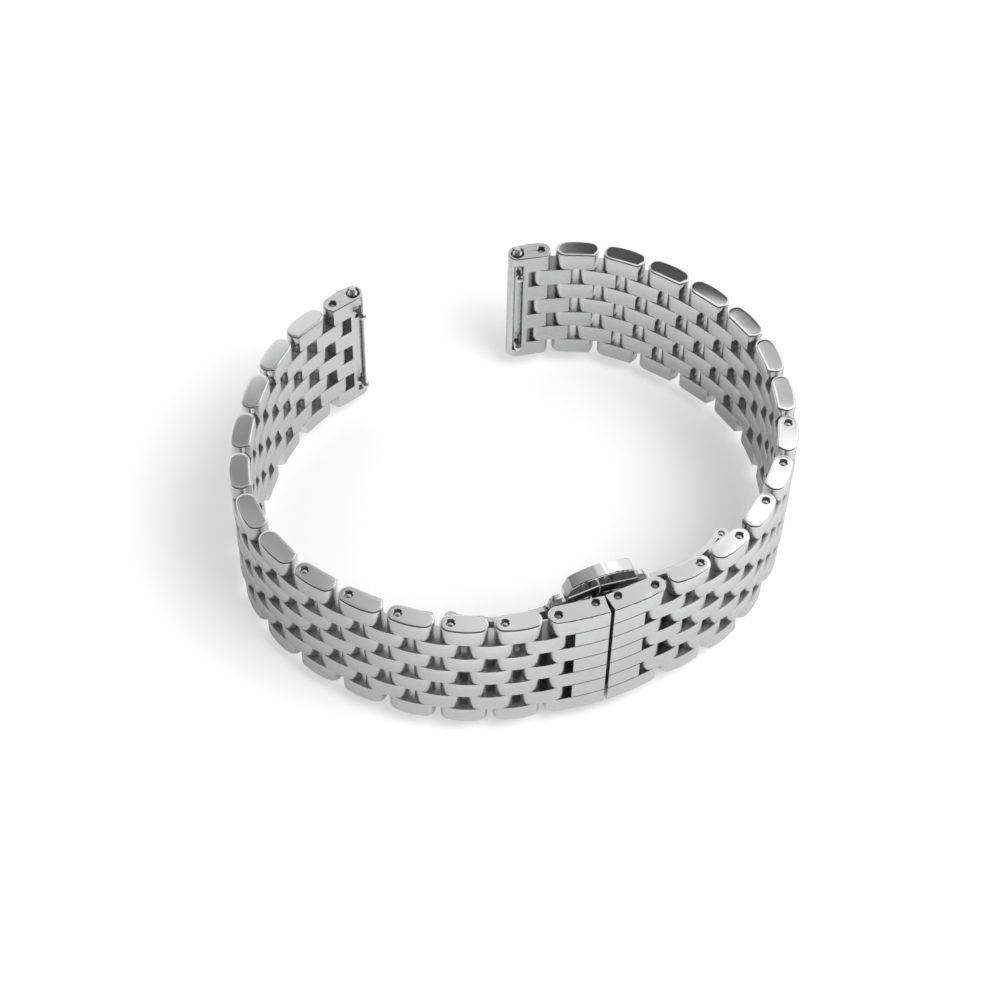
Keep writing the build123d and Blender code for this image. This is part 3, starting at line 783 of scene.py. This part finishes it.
def refined(name, node, metal, width, polish=None, recess=None):
    """A copy of a CAD node with merged corners and softly broken edges. polish is for the rims, and
    recess, or else polish, for what faces the next row; recess is a darker steel there, painted shade."""
    s = bpy.context.scene.bracelet_sizes
    source = NODES[node].data.copy()
    mesh = bmesh.new()
    mesh.from_mesh(source)
    bmesh.ops.remove_doubles(mesh, verts=mesh.verts, dist=MERGE)
    bmesh.ops.dissolve_limit(mesh, angle_limit=radians(ONE_FACE), verts=mesh.verts, edges=mesh.edges,
                             use_dissolve_boundaries=False)
    bmesh.ops.recalc_face_normals(mesh, faces=mesh.faces)
    dome_pins(mesh)
    holder = smooth_object(name + "_rough", mesh, source, SHARP_CAD)
    modifier = holder.modifiers.new("broken edges", "BEVEL")
    modifier.limit_method = "ANGLE"
    modifier.angle_limit = radians(BROKEN_EDGE)
    modifier.width = width
    modifier.segments = 2
    modifier.use_clamp_overlap = True
    # broad faces keep their own direction, so the light bends only over the broken edges
    weighted = holder.modifiers.new("flat faces", "WEIGHTED_NORMAL")
    weighted.mode = "FACE_AREA"
    weighted.keep_sharp = True
    bpy.context.view_layer.update()
    graph = bpy.context.evaluated_depsgraph_get()
    done = bpy.data.meshes.new_from_object(holder.evaluated_get(graph), depsgraph=graph)
    bpy.data.objects.remove(holder)
    done.materials.clear()
    finishes = [finish for finish in (metal, polish, recess) if finish is not None]
    for finish in finishes:
        done.materials.append(finish)
    low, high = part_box(node)
    for face in done.polygons:
        face.material_index = 0
        if polish is None:
            continue
        z = face.center.z
        if min(abs(z - low[2]), abs(high[2] - z)) < s.rim_round * RIM_REACH:
            face.material_index = 1
        elif abs(face.normal.z) > s.gap_lean:
            # what faces the next row: for covers and end links the dark groove steel, painted shade
            face.material_index = len(finishes) - 1
    return done


# Operators

class BRACELET_OT_links(bpy.types.Operator):
    """Make the four-row and three-row links of both halves"""
    bl_idname = "bracelet.links"
    bl_label = "Links"

    def execute(self, context):
        s = context.scene.bracelet_sizes
        metal = metals()
        height = row_height()
        step = height + s.row_gap
        places = chain_places()
        tree = rows_tree()
        finishes = {"Broad_faces": metal["satin"], "Polished_faces": metal["polish"],
                    "Recessed_faces": metal["recess"], "Pin_metal": metal["pin"]}
        pin = pin_template("chain_pin", s.width / 2 - s.pin_recess - s.row_gap / 2)
        templates = [pin]
        for turn, side in ((1, "right"), (-1, "left")):
            inner = small_link(f"{side}_inner_link", turn, s.row_round, s.row_round)
            templates.append(inner)
            meshes = {}
            for kind, hole in (("open", 1), ("closed", 0)):
                low = small_link(f"{side}_{kind}_lower_rim", turn, s.rim_round, s.row_round, -hole)
                high = small_link(f"{side}_{kind}_upper_rim", turn, s.row_round, s.rim_round, hole)
                templates += [low, high]
                # both rim links start at the underside of their row
                low.data.transform(Matrix.Translation((0, 0, -height)))
                meshes[kind] = stacked(
                    f"{side}_{kind}_rows", tree,
                    Inner_link=inner, Lower_rim_link=low, Upper_rim_link=high, Pin=pin,
                    Inner_rows=(s.rows - 3) // 2, First_row=-s.width / 2 + 2 * step, Row_step=2 * step,
                    Rim_row=s.width / 2 - height, Pin_offset=s.pitch / 2,
                    **finishes)
            meshes["narrow"] = stacked(
                f"{side}_narrow_rows", tree,
                Inner_link=inner, Inner_rows=(s.rows - 1) // 2, First_row=-s.width / 2 + step,
                Row_step=2 * step, Rim_row=0.0, Pin_offset=s.pitch / 2,
                **finishes)
            for node, place in places.items():
                if not node.startswith(side):
                    continue
                number = int(node[-2:])
                kind = "narrow" if "_narrow_" in node else "open" if number <= s.open_links else "closed"
                settle(f"{node}_link", meshes[kind], place, node, node, slot="link_steel")
        for template in templates:
            bpy.data.objects.remove(template)
        return {"FINISHED"}


def clasp_line():
    """Middle of the clasp between the two blade hinges, and the heading from the left to the right one."""
    left, right = (Vector(next(j["pos_m"] for j in JOINTS if j["child"] == f"{side}_blade"))
                   for side in ("left", "right"))
    across = right - left
    return (left + right) / 2, atan2(across.y, across.x)


def round_crown(mesh, node, middle, heading, radius, rise):
    """Let the light run over the arched top of a button as over one smooth arc."""
    along = Vector((cos(heading), sin(heading), 0.0))
    low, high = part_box(node)
    up = 1 if high[2] > middle.z * 2 - low[2] else -1
    top = high[2] if up > 0 else low[2]
    normals = [Vector(corner.vector) for corner in mesh.corner_normals]
    for face in mesh.polygons:
        if face.normal.z * up < CROWN_UPWARD or abs(face.center.z - top) > rise * CROWN_SLACK:
            continue
        for corner in face.loop_indices:
            place = mesh.vertices[mesh.loops[corner].vertex_index].co
            lean = max(-CROWN_LEAN, min(CROWN_LEAN, (place - middle).dot(along) / radius))
            normals[corner] = along * lean + Vector((0.0, 0.0, up * sqrt(1 - lean * lean)))
    mesh.normals_split_custom_set(normals)


def draw_together(mesh, middle, heading, reach, shift):
    """Move the end of a cover towards the middle of the clasp, so that only a hairline is left there."""
    along = Vector((cos(heading), sin(heading), 0.0))
    for vertex in mesh.vertices:
        away = (vertex.co - middle).dot(along)
        share = 1 - (abs(away) - SLIT_HALF) / reach
        if 0 < share <= SLIT_SLACK and abs(away) > SLIT_HALF / 2:
            vertex.co -= along * (shift * share * (1 if away > 0 else -1))


class BRACELET_OT_covers(bpy.types.Operator):
    """Make the two cover links over the clasp and the two end links"""
    bl_idname = "bracelet.covers"
    bl_label = "Covers and end links"

    def execute(self, context):
        s = context.scene.bracelet_sizes
        metal = metals()
        middle, heading = clasp_line()
        for side in ("right", "left"):
            for node in (f"{side}_cover", f"{side}_end_link"):
                # the grooves between the rows take a dark steel as painted shade
                mesh = refined(node + "_fine", node, metal["satin"], s.edge_break,
                               polish=metal["rim"], recess=metal["groove"])
                if "cover" in node:
                    draw_together(mesh, middle, heading, SLIT_REACH, s.slit_fill)
                settle(node + "_fine", mesh, Matrix.Identity(4), node, node, slot="link_steel")
        return {"FINISHED"}


class BRACELET_OT_clasp(bpy.types.Operator):
    """Make the clasp plate and the two blades"""
    bl_idname = "bracelet.clasp"
    bl_label = "Clasp plate and blades"

    def execute(self, context):
        s = context.scene.bracelet_sizes
        metal = metals()
        for node in ("clasp_plate", "right_blade", "left_blade"):
            mesh = refined(node + "_fine", node, metal["clasp"], s.edge_break, polish=metal["rim"])
            settle(node + "_fine", mesh, Matrix.Identity(4), node, node, slot="clasp_sheet")
        return {"FINISHED"}


class BRACELET_OT_buttons(bpy.types.Operator):
    """Make the two push buttons"""
    bl_idname = "bracelet.buttons"
    bl_label = "Push buttons"

    def execute(self, context):
        s = context.scene.bracelet_sizes
        metal = metals()
        middle, heading = clasp_line()
        for node in ("upper_button", "lower_button"):
            mesh = refined(node + "_fine", node, metal["button"], s.edge_break)
            round_crown(mesh, node, middle, heading, s.button_crown_radius, s.button_crown_rise)
            made = settle(node + "_fine", mesh, Matrix.Identity(4), node, node, slot="polished_button")
            # the covers beside it show only the studio, as in the photograph
            made.visible_glossy = False
        return {"FINISHED"}


class BRACELET_OT_spring_bars(bpy.types.Operator):
    """Make the four sprung tips with their knobs"""
    bl_idname = "bracelet.spring_bars"
    bl_label = "Spring bar tips"

    def execute(self, context):
        metal = metals()
        for side in ("right", "left"):
            for level in ("upper", "lower"):
                node = f"{side}_{level}_tip"
                mesh = refined(node + "_fine", node, metal["bar"], TIP_BREAK)
                settle(node + "_fine", mesh, Matrix.Identity(4), node, node, slot="spring_bar_tip")
        return {"FINISHED"}


class BRACELET_OT_stage(bpy.types.Operator):
    """Set up the floor, the lamps, the world and the camera"""
    bl_idname = "bracelet.stage"
    bl_label = "Stage"

    def execute(self, context):
        look = context.scene.bracelet_colours
        scene = context.scene
        floor_mesh = bpy.data.meshes.new("floor")
        signs = ((-1, -1), (1, -1), (1, 1), (-1, 1))
        floor_mesh.from_pydata([(x * FLOOR_HALF, y * FLOOR_HALF, 0) for x, y in signs], [], [(0, 1, 2, 3)])
        floor = bpy.data.objects.new("floor", floor_mesh)
        scene.collection.objects.link(floor)
        paint = bpy.data.materials.new("floor_paint")
        paint.use_nodes = True
        sheet = Sheet(paint.node_tree)
        shader = sheet.node("ShaderNodeBsdfPrincipled", Roughness=0.9)
        shader.inputs["Specular IOR Level"].default_value = 0.0
        path = sheet.node("ShaderNodeLightPath")
        # painted shade: in the metal's reflections only, the floor is darker at the foot of the bracelet, to
        # the left in front and inside it
        spot = sheet.node("ShaderNodeSeparateXYZ", i0=sheet.node("ShaderNodeTexCoord").outputs["Object"])
        right, back = sheet.out(spot, "X"), sheet.out(spot, "Y")
        reach = sheet.maths("SQRT", right * right + back * back)
        foot = sheet.ease(sheet.maths("ABSOLUTE", reach - FOOT_RADIUS), *FOOT_BAND)
        left_front = sheet.ease(0 - right, *LEFT) * sheet.ease(0 - back, *FRONT)
        inside_back = sheet.ease(right, *INSIDE) * sheet.ease(back, *BACK)
        tone = ((1 - FOOT_DIM + foot * FOOT_DIM) * (1 - left_front * LEFT_FRONT_DIM)
                * (1 - inside_back * INSIDE_BACK_DIM))
        tone = 1 - sheet.out(path, "Is Glossy Ray") * (1 - tone)
        colour = sheet.node("ShaderNodeCombineXYZ", X=tone * look.floor[0], Y=tone * look.floor[1],
                            Z=tone * look.floor[2])
        sheet.feed(shader.inputs["Base Color"], colour.outputs[0])
        # the camera sees the floor a little whiter, so that it ends in a plain white background
        white = sheet.ease(reach, *GLOW_BAND) * GLOW_RISE + look.floor_glow
        glow = sheet.node("ShaderNodeEmission", Strength=sheet.out(path, "Is Camera Ray") * white)
        both = sheet.node("ShaderNodeAddShader", i0=shader.outputs[0], i1=glow.outputs[0])
        sheet.node("ShaderNodeOutputMaterial", Surface=both.outputs[0])
        floor_mesh.materials.append(paint)

        world = bpy.data.worlds.new("studio")
        world.use_nodes = True
        scene.world = world
        sheet = Sheet(world.node_tree)
        path = sheet.node("ShaderNodeLightPath")
        direction = sheet.node("ShaderNodeTexCoord").outputs["Generated"]
        parts = sheet.node("ShaderNodeSeparateXYZ", i0=direction)
        across, away, up = (sheet.out(parts, name) for name in ("X", "Y", "Z"))
        height = sheet.maths("MAXIMUM", up, LEAST_UP)
        side = across / height
        depth = away / height
        places = {"side": side, "depth": depth, "dark": depth - side * DARK_SLANT}

        def within(*steps):
            """How far a layer covers: the product of the smooth steps that bound it."""
            first, *others = (sheet.ease(places[name], low, high) for name, low, high in steps)
            return prod(others, start=first)

        def blend(under, over, *steps):
            """The tone over laid on the tone under, where the steps let it."""
            return under + (over - under) * within(*steps)

        ceiling = sheet.maths("MAXIMUM", CEILING_TONE + side * CEILING_SLOPE, CEILING_LEAST)
        for layer in CEILING_LAYERS:
            ceiling = blend(ceiling, *layer)
        room = blend(ROOM_TONE + within(ROOM_STEP) * ROOM_RISE, ceiling, CEILING_STEP)
        room = blend(room, *FAR_LEFT_LAYER)
        # the white card on the right, in two parts
        places["card"] = side + depth * CARD_SLANT - within(CARD_SHIFT_STEP) * CARD_SHIFT
        room = blend(room, NEAR_CARD_TONE, *CARD_STEPS, NEAR_CARD_STEP)
        room = blend(room, blend(FAR_CARD_TONE, *CARD_SHADE_LAYER), *CARD_STEPS, FAR_CARD_STEP)
        for layer in FRONT_LAYERS:
            room = blend(room, *layer)
        seen, lit, white = (
            sheet.node("ShaderNodeBackground", Color=colour, Strength=strength).outputs[0]
            for colour, strength in ((sheet.grey(room), 1.0), (WHITE, ROOM_LIGHT), (WHITE, 1.0)))
        metal_sees = sheet.node("ShaderNodeMixShader", i0=path.outputs["Is Glossy Ray"], i1=lit, i2=seen)
        camera_sees = sheet.node("ShaderNodeMixShader", i0=path.outputs["Is Camera Ray"],
                                 i1=metal_sees.outputs[0], i2=white)
        sheet.node("ShaderNodeOutputWorld", Surface=camera_sees.outputs[0])

        for name, place, power, width in LAMPS:
            lamp = bpy.data.lights.new(name, "AREA")
            lamp.energy = power
            lamp.size = width
            made = bpy.data.objects.new(name, lamp)
            scene.collection.objects.link(made)
            made.location = place
            # the metal shows the studio around it, not the lamps themselves
            made.visible_glossy = False
            aim = Vector(LAMP_AIM) - Vector(place)
            made.rotation_euler = aim.to_track_quat("-Z", "Y").to_euler()

        target = Vector(TARGET) * MM
        place = target + Vector(CAMERA_BACK) * MM
        forward = (target - place).normalized()
        level = Vector((1, 0, 0))
        upright = level.cross(forward).normalized()
        roll = radians(ROLL)
        right = level * cos(roll) + upright * sin(roll)
        top = upright * cos(roll) - level * sin(roll)
        lens = bpy.data.cameras.new("photo_camera")
        lens.sensor_width = SENSOR
        lens.lens = FOCAL_PIXELS * SENSOR / PICTURE_PIXELS
        lens.clip_start = NEAREST
        camera = bpy.data.objects.new("photo_camera", lens)
        scene.collection.objects.link(camera)
        turned = Matrix((right, top, -forward)).transposed().to_4x4()
        camera.matrix_world = Matrix.Translation(place) @ turned
        scene.camera = camera
        scene.view_settings.view_transform = "Standard"
        return {"FINISHED"}


class BRACELET_PT_panel(bpy.types.Panel):
    """Pieces of the bracelet"""
    bl_idname = "BRACELET_PT_panel"
    bl_label = "Bracelet"
    bl_space_type = "VIEW_3D"
    bl_region_type = "UI"
    bl_category = "Bracelet"

    def draw(self, context):
        for operator in OPERATORS:
            self.layout.operator(operator.bl_idname)
        for name in ("pitch", "width", "rows", "rim_round"):
            self.layout.prop(context.scene.bracelet_sizes, name)
        for name in ("satin", "polish", "clasp", "satin_gloss", "polish_gloss", "floor"):
            self.layout.prop(context.scene.bracelet_colours, name)


OPERATORS = (
    BRACELET_OT_links,
    BRACELET_OT_covers,
    BRACELET_OT_clasp,
    BRACELET_OT_buttons,
    BRACELET_OT_spring_bars,
    BRACELET_OT_stage,
)
CLASSES = (BraceletSizes, BraceletColours, *OPERATORS, BRACELET_PT_panel)


def register():
    for cls in CLASSES:
        bpy.utils.register_class(cls)
    bpy.types.Scene.bracelet_sizes = bpy.props.PointerProperty(type=BraceletSizes)
    bpy.types.Scene.bracelet_colours = bpy.props.PointerProperty(type=BraceletColours)


def unregister():
    del bpy.types.Scene.bracelet_colours
    del bpy.types.Scene.bracelet_sizes
    for cls in reversed(CLASSES):
        bpy.utils.unregister_class(cls)


def main():
    register()
    bpy.ops.bracelet.stage()
    bpy.ops.bracelet.links()
    bpy.ops.bracelet.covers()
    bpy.ops.bracelet.clasp()
    bpy.ops.bracelet.buttons()
    bpy.ops.bracelet.spring_bars()


if __name__ == "__main__":
    main()
